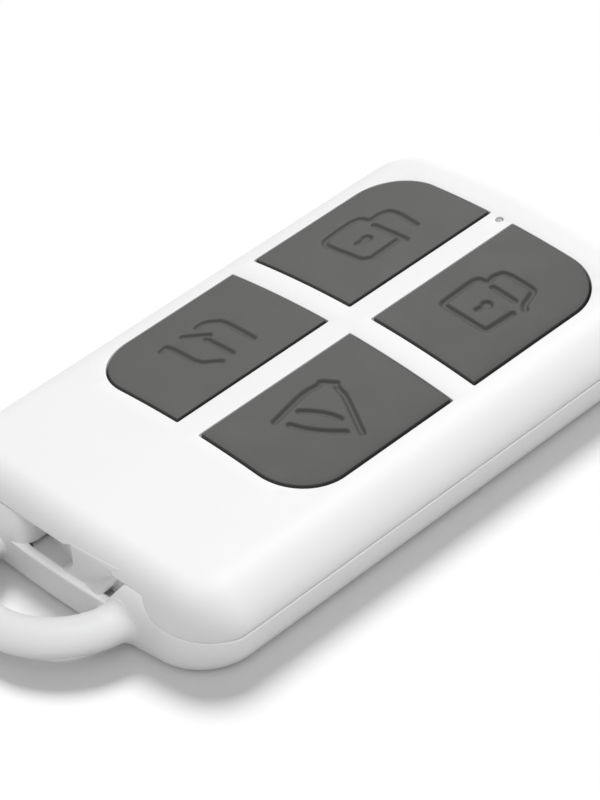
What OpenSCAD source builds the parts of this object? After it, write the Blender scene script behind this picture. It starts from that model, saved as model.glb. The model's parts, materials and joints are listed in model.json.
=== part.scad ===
// Four-key alarm remote with a round key loop.
// The origin is the middle of the outline, loop included, on the flat rear face.
// +Y points from the loop to the status light, +Z out of the keys.

/* [Body] */
// Width across the long sides
body_w = 33; // [31:0.5:38]
// Length from the light end to the middle of the loop end
body_l = 57.25; // [55:0.25:64]
// Radius of the crowned front across the width
crown_r = 90; // [80:1:200]
// Radius of the bowed loop end in plan
near_bow_r = 105; // [80:1:200]
// Radius of the bowed light end in plan
far_bow_r = 300; // [120:10:1000]
// Radius of the four corners in plan
corner_r = 5.2; // [4.5:0.1:6.5]
// Radius of the rounded front edge
shoulder_r = 3.5; // [3:0.1:4]
// Radius of the rounded rear edge
foot_r = 0.95; // [0.6:0.05:1.2]
// Thickness of both shells
wall = 1.1; // [0.9:0.05:1.3]
// Thickness of the flat rear
floor_t = 1; // [0.8:0.05:1.3]
// Height of the parting line above the rear face
parting_z = 2.85; // [2.7:0.05:3]
// Depth of the groove along the parting line
reveal = 0.2; // [0.1:0.05:0.3]
// Height of the locating lip above the parting line
lip_h = 0.6; // [0.4:0.05:0.7]
// Thickness of the locating lip
lip_t = 0.8; // [0.6:0.05:1]
// Clearance between pieces that fit together
fit_gap = 0.1; // [0.05:0.01:0.15]

/* [Loop end] */
// Thickness of the key loop
loop_t = 3.25; // [2.8:0.05:3.6]
// Radius of the middle line of the key loop
loop_r = 7.6; // [7:0.1:8.5]
// Depth of the loop's centre behind the end of the body
loop_inset = 1.35; // [1.1:0.05:1.6]
// Height of the middle of the loop above the rear face
loop_z = 2.3; // [2.1:0.05:2.6]
// Width added to the loop where it grows out of the wall
loop_flare = 0.9; // [0.5:0.05:1.2]
// Distance of the opening's right end from the middle, at its rim
opening_x = 6.3; // [5.8:0.1:6.8]
// Distance of the opening's left end from the middle
opening_left = 3.1; // [2.7:0.1:3.5]
// Outward lean of the opening's right side, from the rim to the brow
opening_lean = 2.1; // [1.5:0.1:2.4]
// Height of the rim below the opening
rim_z = 3.6; // [3.4:0.05:3.8]
// Drop of the brow over the opening below the crown
brow_drop = 1.25; // [1.15:0.05:1.4]
// Half width of the raised wall that carries the loop, at its shoulders
root_x = 11.1; // [10.6:0.1:11.6]
// Height of the raised wall's shoulders
root_z = 4.3; // [4.1:0.05:4.6]
// Inward lean of the raised wall, from the shoulders to the brow
root_lean = 1.1; // [0.8:0.1:1.4]
// Sideways run of the slope from the parting line up to a shoulder
root_run = 5.2; // [4.8:0.1:5.3]
// Depth of the cheek at the opening's left end
cheek_d = 3; // [2.6:0.05:3.1]
// Distance of the tongue's left edge from the middle
tongue_x = 2; // [1.6:0.1:2.4]
// Gap between the tongue and the opening's right side
tongue_gap = 0.8; // [0.6:0.05:1]
// Depth of the tongue
tongue_d = 1.7; // [1.4:0.05:1.8]

/* [Keys] */
// Width of the white cross between the windows
street = 2.4; // [2:0.1:3]
// Distance from the long side to the windows
side_margin = 3.7; // [3.5:0.1:4.4]
// Distance from the light end to the windows
far_margin = 5.6; // [5:0.1:7]
// Distance from the loop end to the windows
near_margin = 15.35; // [14:0.05:17]
// Radius of each window's outer corner
window_r = 4.8; // [3.5:0.1:5.5]
// Gap around a key in its window
key_gap = 0.28; // [0.2:0.02:0.35]
// Height of the key faces above the shell
key_rise = 0.1; // [0:0.02:0.2]
// Stroke of a key
key_travel = 0.25; // [0.15:0.01:0.3]
// Overlap of a key's flange under the shell
flange_out = 0.5; // [0.4:0.02:0.55]
// Thickness of a key's flange
flange_t = 0.4; // [0.3:0.05:0.5]
// Clearance between a flange and the shell above it
flange_gap = 0.05; // [0.03:0.01:0.1]
// Diameter of the stem below a key
stem_d = 2.6; // [2:0.1:3.2]
// Length of the stem below a key
stem_l = 0.37; // [0.3:0.01:0.6]
// Width of the engraved lines
line_w = 0.55; // [0.4:0.05:0.7]
// Depth of the engraved lines
line_depth = 0.18; // [0.1:0.02:0.25]
// Height of a whole pictogram
icon_h = 6.6; // [5.5:0.1:7.2]

/* [Power] */
// Diameter of the coin cell
cell_d = 20; // [19:0.5:20.5]
// Thickness of the coin cell
cell_h = 2.5; // [1.6:0.1:3.2]
// Distance from the loop end to the middle of the cell
cell_back = 14.2; // [13.8:0.1:15]
// Thickness of the two cell contacts
contact_t = 0.2; // [0.15:0.01:0.3]
// Width of the clip under the cell
clip_w = 5; // [4:0.1:6]
// Clearance around and below the cell and its clip
cell_gap = 0.2; // [0.1:0.01:0.25]
// Length of a clip foot soldered to the board
clip_foot = 1.4; // [1:0.1:1.6]
// Height of the cradle around the cell
cradle_h = 1.4; // [1:0.1:1.8]
// Thickness of the cradle around the cell
cradle_t = 0.8; // [0.6:0.05:0.9]
// Diameter of the negative leaf
leaf_d = 9; // [6:0.5:12]

/* [Board] */
// Thickness of the circuit board
board_t = 0.8; // [0.6:0.05:1]
// Distance from the shell's wall to the board's long sides
board_side = 1.6; // [1.4:0.05:2]
// Distance from the loop end to the board
board_near = 3.5; // [3.3:0.1:4]
// Distance from the light end to the board
board_far = 2.1; // [2:0.1:3]
// Radius of the board's corners
board_r = 4; // [3:0.1:5]
// Diameter of the posts under the board
post_d = 2.4; // [2:0.1:2.6]
// Diameter of the pins through the board
pin_d = 1.2; // [1:0.05:1.4]
// Distance from the posts to the board's edges
post_in = 2.6; // [2.2:0.1:3]
// Width of a switch
switch_w = 3.6; // [3:0.1:4.5]
// Height of a switch without its button
switch_h = 0.55; // [0.5:0.05:0.8]
// Diameter of a switch button
plunger_d = 1.8; // [1.4:0.1:2.4]
// Diameter of the light pipe
pipe_d = 0.9; // [0.7:0.05:1]
// Distance from the light to the ends of the windows
light_back = 0.3; // [0.1:0.05:0.6]
// Height of the status light
led_h = 0.6; // [0.4:0.05:0.8]
// Width of the antenna's copper
copper_w = 1.2; // [0.8:0.1:1.6]
// Thickness of the antenna's copper
copper_t = 0.1; // [0.05:0.01:0.15]

/* [Components] */
// Width of the encoder chip
encoder_w = 3.9; // [3:0.1:4.5]
// Length of the encoder chip
encoder_l = 4.9; // [4:0.1:5.5]
// Height of the encoder chip
encoder_h = 1.45; // [1:0.05:1.7]
// Spacing of the encoder chip's legs
encoder_pitch = 1.27; // [1:0.01:1.3]
// Width of the transistor
transistor_w = 1.3; // [1:0.1:1.8]
// Length of the transistor
transistor_l = 2.9; // [2:0.1:3.2]
// Height of the transistor
transistor_h = 1; // [0.7:0.05:1.3]
// Spacing of the transistor's legs
transistor_pitch = 1.9; // [1.2:0.1:2]
// Side of the resonator's can
can_w = 5; // [3:0.1:5.5]
// Height of the resonator's can
can_h = 1.5; // [1:0.05:1.7]
// Length of a resistor or capacitor
chip_l = 1.6; // [1:0.1:2]
// Width of a resistor or capacitor
chip_w = 0.8; // [0.5:0.05:1]
// Height of a resistor or capacitor
chip_h = 0.5; // [0.3:0.05:0.8]

/* [Hidden] */
$fn = 96;

// Plan
half_w = body_w / 2;
loop_reach = loop_r + loop_t / 2 - loop_inset;
far_y = (body_l + loop_reach) / 2;
near_y = far_y - body_l;
window_w = (body_w - 2 * side_margin - street) / 2;
window_l = (body_l - far_margin - near_margin - street) / 2;
cross_y = far_y - far_margin - window_l - street / 2;
key_x = (street + window_w) / 2;
key_y = (street + window_l) / 2;
light_y = cross_y + street / 2 + window_l - light_back;
cell_y = near_y + cell_back;

// Heights, stacked from the rear face to the crown
clip_z = floor_t + cell_gap / 2;
cell_z = clip_z + contact_t;
leaf_z = cell_z + cell_h;
board_z = leaf_z + contact_t;
board_top = board_z + board_t;
switch_top = board_top + switch_h;
plunger_rise = key_travel + fit_gap / 2;
plunger_top = switch_top + plunger_rise;
flange_r = crown_r - wall - flange_gap;
under_r = flange_r - flange_t;
crown_z = plunger_top + stem_l - sqrt(pow(under_r, 2) - pow(key_x, 2));
body_h = crown_z + crown_r;
brow_r = crown_r - brow_drop;
brow_z = body_h - brow_drop;

// Board outline
board_w = body_w - 2 * (wall + board_side);
board_y0 = near_y + board_near;
board_y1 = far_y - board_far;
post_x = board_w / 2 - post_in;

// Length that clears the whole body
reach = body_l + body_w;

// Points along an arc
function arc(centre, radius, from, to, steps) =
    [for (i = [0 : steps]) let (a = from + (to - from) * i / steps) centre + radius * [cos(a), sin(a)]];

// Points of a bowed end with its apex at (0, top), round corners included, from right to left
function bowed_end(top, bow_r, inset) =
    let (x = half_w - corner_r,
         y = top - bow_r + sqrt(pow(bow_r - corner_r, 2) - pow(x, 2)),
         lean = atan2(y - top + bow_r, x),
         step = (90 - lean) / 5)
    concat(arc([x, y], corner_r - inset, 0, lean, 8),
           arc([0, top - bow_r], bow_r - inset, lean + step, 180 - lean - step, 8),
           arc([-x, y], corner_r - inset, 180 - lean, 180, 8));

// Points of the body's outline in plan
function outline(inset) =
    concat(bowed_end(far_y, far_bow_r, inset), -bowed_end(-near_y, near_bow_r, inset));

// The outline at one height
function level(inset, z) = [for (p = outline(inset)) [p[0], p[1], z]];

// Height of the crown, drawn in by the inset, at a place across the width
function crown_at(x, inset) = crown_z + sqrt(pow(crown_r - inset, 2) - pow(x, 2));

// The outline moved in by a distance and held at a depth below the crown
function below_crown(inset, move, depth) =
    [for (p = outline(inset + move)) [p[0], p[1], crown_at(p[0], inset) - depth]];

// Rings up the rounded body; the upper ones run past the crown, where the crown cuts them off
function rings(inset) =
    let (r = shoulder_r - inset,
         last = 72,
         over = r * (1 - sin(last)),
         move = r * (1 - cos(last)) + 2 * over * tan(last))
    concat([level(inset + foot_r, 0), level(inset + 0.3 * foot_r, 0.3 * foot_r), level(inset, foot_r)],
           [for (turn = [0 : 18 : last]) below_crown(inset, r * (1 - cos(turn)), r * (1 - sin(turn)))],
           [below_crown(inset, move, -over), level(inset + move, 2 * body_h)]);

// Outline of the body in plan
module plan(inset = 0) {
    polygon(outline(inset));
}

// Extrude a shape drawn in X and Z along the whole length
module along_y() {
    translate([0, reach, 0]) rotate([90, 0, 0]) linear_extrude(2 * reach) children();
}

// Solid cylinder concentric with the crown
module crown_cylinder(radius) {
    translate([0, reach, crown_z]) rotate([90, 0, 0]) cylinder(r = radius, h = 2 * reach, $fn = 360);
}

// The closed body, drawn in on all sides by the inset
module envelope(inset = 0) {
    stack = rings(inset);
    count = len(stack[0]);
    top = len(stack) - 1;
    sides = [for (i = [0 : top - 1], j = [0 : count - 1], half = [0, 1])
        let (a = i * count + j, b = i * count + (j + 1) % count)
        half == 0 ? [a, a + count, b] : [b, a + count, b + count]];
    ends = [[for (j = [0 : count - 1]) j], [for (j = [count - 1 : -1 : 0]) top * count + j]];
    intersection() {
        polyhedron([for (ring = stack, p = ring) p], concat(sides, ends));
        crown_cylinder(crown_r - inset);
    }
}

// Everything above a height
module above(z) {
    translate([-reach, -reach, z]) cube([2 * reach, 2 * reach, reach]);
}

// The hollow body before it is split
module hull_wall() {
    difference() {
        envelope();
        intersection() {
            envelope(wall);
            above(floor_t);
        }
    }
}

// Right half of the raised end wall that carries the loop, in X and Z, from the parting line to the brow
function root_edge(gap) =
    [[root_x + root_run + gap, parting_z - reveal], [root_x + root_run + gap, parting_z + gap],
     [root_x + gap, root_z + gap]];

// Raised end wall that carries the loop, drawn in X and Z
module root_outline(gap = 0) {
    edge = root_edge(gap);
    a = acos((root_x - root_lean + gap) / (brow_r + gap));
    polygon(concat(edge, arc([0, crown_z], brow_r + gap, a, 180 - a, 12),
                   [for (i = [2 : -1 : 0]) [-edge[i][0], edge[i][1]]]));
}

// Opening above the rim, with a right side that leans outwards up to the brow
module opening_outline() {
    top_x = opening_x + opening_lean;
    polygon([[-opening_left, rim_z], [opening_x, rim_z], [top_x, brow_z], [top_x, 2 * body_h],
             [-opening_left, 2 * body_h]]);
}

// The near end only
module near_block() {
    translate([-reach, near_y - reach, -body_h]) cube([2 * reach, reach + corner_r, 3 * body_h]);
}

// One window in the corner of the cross, with its outer corner rounded
module window_outline(inset = 0) {
    width = window_w - 2 * inset;
    length = window_l - 2 * inset;
    round_r = window_r - inset;
    translate([street / 2 + inset, street / 2 + inset]) {
        square([width - round_r, length]);
        square([width, length - round_r]);
        translate([width - round_r, length - round_r]) circle(round_r);
    }
}

// Place a shape drawn for the upper right corner in the corner (column, row)
module in_corner(column, row) {
    translate([0, cross_y, 0]) scale_mirror(column, row) children();
}

module scale_mirror(column, row) {
    mirror([column < 0 ? 1 : 0, 0, 0]) mirror([0, row < 0 ? 1 : 0, 0]) children();
}

// The tongue that hangs from the front shell in the right half of the opening
module tongue() {
    foot_z = rim_z + fit_gap;
    right_x = opening_x - tongue_gap;
    intersection() {
        along_y() polygon([[tongue_x, foot_z], [right_x, foot_z], [right_x + opening_lean, brow_z],
                           [right_x + opening_lean, body_h], [tongue_x, body_h]]);
        translate([-half_w, near_y + 0.8 * wall, 0]) cube([body_w, tongue_d, 2 * body_h]);
        envelope(wall / 2);
    }
}

module front_shell() {
    color("white") {
        difference() {
            intersection() {
                hull_wall();
                above(parting_z);
            }
            intersection() {
                along_y() root_outline(fit_gap);
                near_block();
            }
            for (column = [-1, 1], row = [-1, 1])
                in_corner(column, row) linear_extrude(2 * body_h) window_outline();
            translate([0, light_y, 0]) cylinder(d = pipe_d + fit_gap, h = 2 * body_h);
        }
        tongue();
    }
}

// The deep side of the opening on the left, behind the raised wall
module cheek() {
    far_x = opening_x + opening_lean;
    intersection() {
        along_y() root_outline();
        envelope(wall / 2);
        translate([-far_x, near_y, rim_z - wall / 2]) cube([far_x - opening_left, cheek_d, body_h]);
    }
}

// Half ring with its feet in the end wall
module key_loop() {
    foot_l = 2.2 * loop_inset;
    foot_turn = 2 * asin(foot_l / 2 / loop_r);
    translate([0, near_y + loop_inset, loop_z]) {
        rotate([0, 0, 180]) rotate_extrude(angle = 180) translate([loop_r, 0]) circle(d = loop_t);
        for (side = [-1, 1])
            translate([side * loop_r, 0, 0]) rotate([90, 0, -side * foot_turn / 2])
                cylinder(d1 = loop_t + loop_flare, d2 = 0.96 * loop_t, h = foot_l);
    }
}

// Posts and pins under the board
module board_posts() {
    for (x = [-post_x, post_x], y = [board_y0 + post_in, board_y1 - post_in]) translate([x, y, 0]) {
        translate([0, 0, floor_t / 2]) cylinder(d = post_d, h = board_z - floor_t / 2);
        translate([0, 0, floor_t / 2]) cylinder(d = pin_d, h = board_top - floor_t / 2);
    }
}

// Ring that keeps the cell in place, cut where the clip crosses it
module cell_cradle() {
    inner_d = cell_d + 2 * cell_gap + 4 * contact_t;
    translate([0, cell_y, floor_t / 2]) difference() {
        cylinder(d = inner_d + 2 * cradle_t, h = floor_t / 2 + cradle_h);
        translate([0, 0, -floor_t]) cylinder(d = inner_d, h = 2 * floor_t + 2 * cradle_h);
        translate([-cell_d, -clip_w / 2 - cell_gap, -floor_t])
            cube([2 * cell_d, clip_w + 2 * cell_gap, 2 * floor_t + 2 * cradle_h]);
    }
}

module rear_shell() {
    lip_out = wall + fit_gap;
    color("white") {
        difference() {
            union() {
                difference() {
                    intersection() {
                        envelope();
                        translate([-reach, -reach, -reach]) cube([2 * reach, 2 * reach, reach + parting_z]);
                    }
                    translate([0, 0, floor_t]) linear_extrude(body_h) plan(lip_out + lip_t);
                }
                translate([0, 0, parting_z - reveal]) linear_extrude(reveal + lip_h) difference() {
                    plan(lip_out);
                    plan(lip_out + lip_t);
                }
                intersection() {
                    hull_wall();
                    along_y() root_outline();
                    near_block();
                }
            }
            intersection() {
                along_y() opening_outline();
                near_block();
            }
            difference() {
                translate([0, 0, parting_z - reveal]) linear_extrude(reveal) difference() {
                    plan(-wall);
                    plan(1.5 * reveal);
                }
                intersection() {
                    along_y() root_outline();
                    near_block();
                }
            }
        }
        cheek();
        key_loop();
        board_posts();
        cell_cradle();
    }
}

// A line with round ends
module line(from, to) {
    run = to - from;
    translate(from) rotate(atan2(run[1], run[0])) {
        translate([0, -line_w / 2]) square([norm(run), line_w]);
        circle(d = line_w);
        translate([norm(run), 0]) circle(d = line_w);
    }
}

// A chain of lines through the points, in shares of the pictogram's height
module lines(points) {
    for (i = [1 : len(points) - 1]) line(points[i - 1] * icon_h, points[i] * icon_h);
}

module padlock(open) {
    lines([[-0.4, 0.14], [0.4, 0.14], [0.4, -0.5], [-0.4, -0.5], [-0.4, 0.14]]);
    lines([[-0.28, 0.14], [-0.28, 0.34], [-0.14, 0.5], [0.14, 0.5]]);
    if (!open) lines([[0.14, 0.5], [0.28, 0.34], [0.28, 0.14]]);
    translate([0, -0.14] * icon_h) circle(d = 1.6 * line_w);
    line([0, -0.14] * icon_h, [0, -0.26] * icon_h);
}

module opposing_arrows() {
    lines([[-0.44, 0.2], [-0.25, 0.44], [0.44, 0.44]]);
    lines([[-0.44, -0.06], [-0.17, 0.16], [-0.08, 0.05], [0.44, 0.05]]);
    lines([[-0.44, -0.42], [-0.44, -0.34], [0.16, -0.34], [0.44, -0.16]]);
}

module bell() {
    lines([[-0.34, -0.5], [-0.48, 0.4], [-0.32, 0.5], [0.54, 0.1]]);
    lines([[-0.28, -0.12], [-0.08, 0.04], [0.16, 0.1]]);
    lines([[-0.18, -0.42], [0.12, -0.28], [0.42, -0.02]]);
}

// A key with its flange and stem, and the drawn lines cut into its face
module key(column, row) {
    middle = [column * key_x, cross_y + row * key_y, 0];
    color("dimgray") difference() {
        union() {
            intersection() {
                in_corner(column, row) linear_extrude(2 * body_h) window_outline(key_gap);
                crown_cylinder(crown_r + key_rise);
            }
            intersection() {
                in_corner(column, row) linear_extrude(2 * body_h) window_outline(-flange_out);
                crown_cylinder(flange_r);
            }
        }
        crown_cylinder(under_r);
        difference() {
            translate(middle) linear_extrude(2 * body_h) children();
            crown_cylinder(crown_r + key_rise - line_depth);
        }
    }
    color("dimgray") translate(middle + [0, 0, plunger_top])
        cylinder(d = stem_d, h = stem_l + flange_t);
}

module key_disarm() { key(-1, 1) padlock(true); }
module key_arm() { key(1, 1) padlock(false); }
module key_home_arm() { key(-1, -1) opposing_arrows(); }
module key_alarm() { key(1, -1) bell(); }

module light_pipe() {
    foot_z = board_top + led_h;
    color("lightcyan") translate([0, light_y, foot_z]) cylinder(d = pipe_d, h = body_h - foot_z);
}

module circuit_board() {
    corner_x = board_w / 2 - board_r;
    color("darkgreen") translate([0, 0, board_z]) difference() {
        linear_extrude(board_t) {
            translate([-corner_x, board_y0]) square([2 * corner_x, board_y1 - board_y0]);
            translate([-board_w / 2, board_y0 + board_r])
                square([board_w, board_y1 - board_y0 - 2 * board_r]);
            for (x = [-corner_x, corner_x], y = [board_y0 + board_r, board_y1 - board_r])
                translate([x, y]) circle(board_r);
        }
        for (x = [-post_x, post_x], y = [board_y0 + post_in, board_y1 - post_in])
            translate([x, y, -board_t]) cylinder(d = pin_d + fit_gap, h = 3 * board_t);
    }
}

// Switch below the key in the corner (column, row)
module switch_base(column, row) {
    seat = fit_gap / 2;
    color("black") translate([column * key_x, cross_y + row * key_y, board_top]) difference() {
        translate([-switch_w / 2, -switch_w / 2, 0]) cube([switch_w, switch_w, switch_h]);
        translate([0, 0, seat]) cylinder(d = plunger_d + fit_gap, h = switch_h);
    }
}

// Button of that switch, which the key pushes down
module switch_plunger(column, row) {
    bottom = board_top + key_travel + fit_gap;
    color("silver") translate([column * key_x, cross_y + row * key_y, bottom])
        cylinder(d = plunger_d, h = plunger_top - bottom);
}

module switch_disarm() { switch_base(-1, 1); }
module switch_arm() { switch_base(1, 1); }
module switch_home_arm() { switch_base(-1, -1); }
module switch_alarm() { switch_base(1, -1); }
module plunger_disarm() { switch_plunger(-1, 1); }
module plunger_arm() { switch_plunger(1, 1); }
module plunger_home_arm() { switch_plunger(-1, -1); }
module plunger_alarm() { switch_plunger(1, -1); }

module status_led() {
    led_l = 2 * pipe_d;
    color("gold") translate([-led_l / 2, light_y - pipe_d / 2, board_top]) cube([led_l, pipe_d, led_h]);
}

// Can with a smaller cap on its upper side
module coin_cell() {
    cap_h = cell_h / 8;
    color("silver") translate([0, cell_y, cell_z]) {
        cylinder(d = cell_d, h = cell_h - cap_h);
        cylinder(d = 0.86 * cell_d, h = cell_h);
    }
}

// Strip under the cell, with a leg and a foot on each side
module positive_clip() {
    leg_x = cell_d / 2 + cell_gap;
    color("silver") translate([0, cell_y - clip_w / 2, 0]) {
        translate([-leg_x - contact_t, 0, clip_z]) cube([2 * (leg_x + contact_t), clip_w, contact_t]);
        for (side = [-1, 1]) mirror([side < 0 ? 1 : 0, 0, 0]) translate([leg_x, 0, 0]) {
            translate([0, 0, clip_z]) cube([contact_t, clip_w, board_z - clip_z]);
            translate([0, 0, board_z - contact_t]) cube([clip_foot, clip_w, contact_t]);
        }
    }
}

// Round leaf with two arms on the underside of the board
module negative_leaf() {
    arm_w = leaf_d / 3;
    color("goldenrod") translate([0, cell_y, leaf_z]) {
        cylinder(d = leaf_d, h = contact_t);
        for (turn = [45, 135]) rotate(turn)
            translate([-0.8 * leaf_d, -arm_w / 2, 0]) cube([1.6 * leaf_d, arm_w, contact_t]);
    }
}

// Flat package under the board, with legs along both sides
module package(at, size, leg_rows, pitch) {
    leg = [size[0] / 5, pitch / 3, size[2] / 6];
    translate([at[0], at[1], board_z - size[2]]) {
        translate([-size[0] / 2, -size[1] / 2, 0]) cube(size);
        for (side = [0, 1], i = [0 : leg_rows[side] - 1])
            mirror([side, 0, 0])
                translate([size[0] / 2 - leg[0] / 2, (i - (leg_rows[side] - 1) / 2) * pitch - leg[1] / 2,
                           size[2] - leg[2]]) cube([1.5 * leg[0], leg[1], leg[2]]);
    }
}

// The parts under the board share the room between the cell and the far posts
parts_y0 = cell_y + cell_d / 2 + 2 * cradle_t;
parts_l = board_y1 - parts_y0;

module encoder_chip() {
    color("black") package([-board_w / 4, parts_y0 + 0.2 * parts_l],
                           [encoder_w, encoder_l, encoder_h], [4, 4], encoder_pitch);
}

module rf_transistor() {
    color("black") package([board_w / 4, parts_y0 + 0.45 * parts_l],
                           [transistor_w, transistor_l, transistor_h], [1, 2], transistor_pitch);
}

module saw_resonator() {
    color("gainsboro") translate([board_w / 4 - can_w / 2, parts_y0 + 0.1 * parts_l, board_z - can_h])
        cube([can_w, can_w, can_h]);
}

// Two rows of resistors and capacitors
module chip_passives() {
    chips = 5;
    color("tan") for (column = [-1, 1], i = [0 : chips - 1])
        translate([column * board_w / 12 - chip_l / 2, parts_y0 + (0.1 + 0.09 * i) * parts_l,
                   board_z - chip_h]) cube([chip_l, chip_w, chip_h]);
}

// Open rectangle of copper round the light end of the board's underside
module loop_antenna() {
    antenna_w = 2 * (post_x - post_d / 2 - copper_w);
    antenna_l = 0.4 * parts_l;
    top_y = board_y1 - copper_w;
    color("orange") translate([0, 0, board_z - copper_t]) linear_extrude(copper_t) {
        translate([-antenna_w / 2, top_y - copper_w]) square([antenna_w, copper_w]);
        for (side = [-1, 1])
            translate([side * (antenna_w - copper_w) / 2 - copper_w / 2, top_y - antenna_l])
                square([copper_w, antenna_l]);
        translate([-antenna_w / 2, top_y - antenna_l]) square([0.7 * antenna_w, copper_w]);
    }
}

front_shell();
rear_shell();
key_disarm();
key_arm();
key_home_arm();
key_alarm();
light_pipe();
circuit_board();
switch_disarm();
switch_arm();
switch_home_arm();
switch_alarm();
plunger_disarm();
plunger_arm();
plunger_home_arm();
plunger_alarm();
status_led();
coin_cell();
positive_clip();
negative_leaf();
encoder_chip();
saw_resonator();
rf_transistor();
chip_passives();
loop_antenna();
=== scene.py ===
# %% [markdown]
# # A four-key alarm remote
# The remote is a flat white plastic case with four dark grey keys, a pinhole for a status light and a
# key loop moulded on one end. The solids come from the CAD model and stay where they are. This lesson
# adds what the solids leave plain: rounded edges, a softly blended loop, engraved key faces and the
# finish of each material.

# %% Load the solids
import json
import math

import bpy
import numpy as np
from mathutils import Matrix, Vector, geometry


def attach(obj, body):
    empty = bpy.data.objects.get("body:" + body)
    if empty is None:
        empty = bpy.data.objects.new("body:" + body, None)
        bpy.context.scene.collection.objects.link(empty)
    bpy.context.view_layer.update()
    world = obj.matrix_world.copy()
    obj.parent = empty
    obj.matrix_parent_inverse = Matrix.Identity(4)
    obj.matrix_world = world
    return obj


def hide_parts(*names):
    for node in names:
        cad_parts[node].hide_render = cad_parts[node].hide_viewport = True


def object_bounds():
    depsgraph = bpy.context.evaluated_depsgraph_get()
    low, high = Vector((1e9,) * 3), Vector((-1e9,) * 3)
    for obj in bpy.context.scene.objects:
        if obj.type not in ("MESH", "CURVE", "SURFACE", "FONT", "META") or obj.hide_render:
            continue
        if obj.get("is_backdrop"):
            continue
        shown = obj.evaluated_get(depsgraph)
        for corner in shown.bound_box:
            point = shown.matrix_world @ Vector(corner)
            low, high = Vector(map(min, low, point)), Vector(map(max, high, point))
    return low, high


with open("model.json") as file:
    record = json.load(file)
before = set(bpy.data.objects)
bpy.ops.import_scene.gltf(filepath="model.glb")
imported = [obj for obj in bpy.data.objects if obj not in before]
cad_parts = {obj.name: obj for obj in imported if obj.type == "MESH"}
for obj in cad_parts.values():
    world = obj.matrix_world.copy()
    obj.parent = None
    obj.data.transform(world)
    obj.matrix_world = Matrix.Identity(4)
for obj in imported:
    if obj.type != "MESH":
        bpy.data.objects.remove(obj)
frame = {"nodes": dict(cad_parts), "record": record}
cad_low, cad_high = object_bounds()
print("solids:", len(frame["nodes"]), "box in mm:", [round(v * 1000, 2) for v in cad_high - cad_low])

# %% [markdown]
# ## Camera
# The photograph looks down at the loop end from the right with a long lens. The camera's place came from
# fitting the corners of the keys, the long edges and the loop to the picture, so it is written here as
# numbers. A long lens keeps the edges nearly parallel, as they are in the picture.

# %% Camera
MM = 0.001
IMAGE_HEIGHT, FOCAL_LENGTH = 800, 3459.5  # in pixels of the picture


def turned(azimuth, elevation, roll):
    """Rotation of a camera that looks down at the object from an azimuth and an elevation."""
    a, e, r = (math.radians(angle) for angle in (azimuth, elevation, roll))
    ahead = Vector((-math.sin(a) * math.cos(e), math.cos(a) * math.cos(e), -math.sin(e)))
    level_right = Vector((math.cos(a), math.sin(a), 0))
    level_up = level_right.cross(ahead)
    right = level_right * math.cos(r) + level_up * math.sin(r)
    up = level_up * math.cos(r) - level_right * math.sin(r)
    return Matrix((right, up, -ahead)).transposed()


lens = bpy.data.cameras.new("camera")
lens.sensor_fit = "VERTICAL"
lens.sensor_height = 36
lens.lens = lens.sensor_height * FOCAL_LENGTH / IMAGE_HEIGHT
lens.clip_start = 0.01
camera = bpy.data.objects.new("camera", lens)
place = Vector((165.07, -140.16, 181.76)) * MM
camera.matrix_world = Matrix.Translation(place) @ turned(49.136, 39.281, -5.547).to_4x4()
bpy.context.scene.collection.objects.link(camera)
bpy.context.scene.camera = camera
bpy.context.scene.view_settings.view_transform = "Standard"
print("camera distance in mm:", round(place.length / MM), "lens:", round(lens.lens, 1))

# %% [markdown]
# ## Wires
# A finish is a tree of nodes, and long trees are hard to read as links. The small class below wraps one
# socket, so a finish can be written as a sum: each operator adds a Math node. One method adds any other
# node, with its settings first and its sockets after them.


# %% A socket that can be used in sums
class Wire:
    """An output socket; sums and products of wires add Math nodes."""

    def __init__(self, socket):
        self.socket = socket

    @classmethod
    def node(cls, tree, kind, settings, sockets, out=0):
        """Add a node of any kind and give back one of its outputs."""
        made = tree.nodes.new(kind)
        for name, value in settings.items():
            setattr(made, name, value)
        for name, value in sockets.items():
            if isinstance(value, Wire):
                tree.links.new(value.socket, made.inputs[name])
            else:
                made.inputs[name].default_value = value
        return cls(made.outputs[out])

    def math(self, operation, first, second):
        """A Math node in the tree of this socket."""
        tree = self.socket.id_data
        return Wire.node(tree, "ShaderNodeMath", {"operation": operation}, {0: first, 1: second})

    def __add__(self, other):
        return self.math("ADD", self, other)

    def __sub__(self, other):
        return self.math("SUBTRACT", self, other)

    def __rsub__(self, other):
        return self.math("SUBTRACT", other, self)

    def __mul__(self, other):
        return self.math("MULTIPLY", self, other)

    def __gt__(self, other):
        return self.math("GREATER_THAN", self, other)

    def largest(self, other):
        return self.math("MAXIMUM", self, other)

    __radd__ = __add__
    __rmul__ = __mul__


def colour_mix(tree, share, first, second):
    """A colour between two colours."""
    return Wire.node(tree, "ShaderNodeMix", {"data_type": "RGBA"}, {0: share, 6: first, 7: second}, 2)


print("reflected operators:", [name for name in vars(Wire) if name.startswith("__r")])

# %% [markdown]
# ## Floor, white surroundings and light
# The remote lies on a plain white table in even white light. In the picture the front is lit from behind and
# above, the loop from straight above, the keys from the far left, and the shadow on the table falls to the
# right. No single lamp draws all of that, so one wide lamp hangs above the case, and the front shell, the
# rear shell, the keys and the table each have a soft lamp of their own. A studio would do this with screens;
# here each lamp gets a list of what it reaches, once the pieces exist. The floor and the world look white to
# the camera and to reflections, and each surface gets light of a plain level in all. Sun lamps with a wide
# angle were chosen over panel lamps because they light the whole table evenly.

# %% Floor
SHARE_OF_SKY = 0.42
TABLE_AS_SEEN, TABLE_AS_LIGHT = (0.985, 0.985, 0.985, 1), (0.80, 0.80, 0.80, 1)


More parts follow.
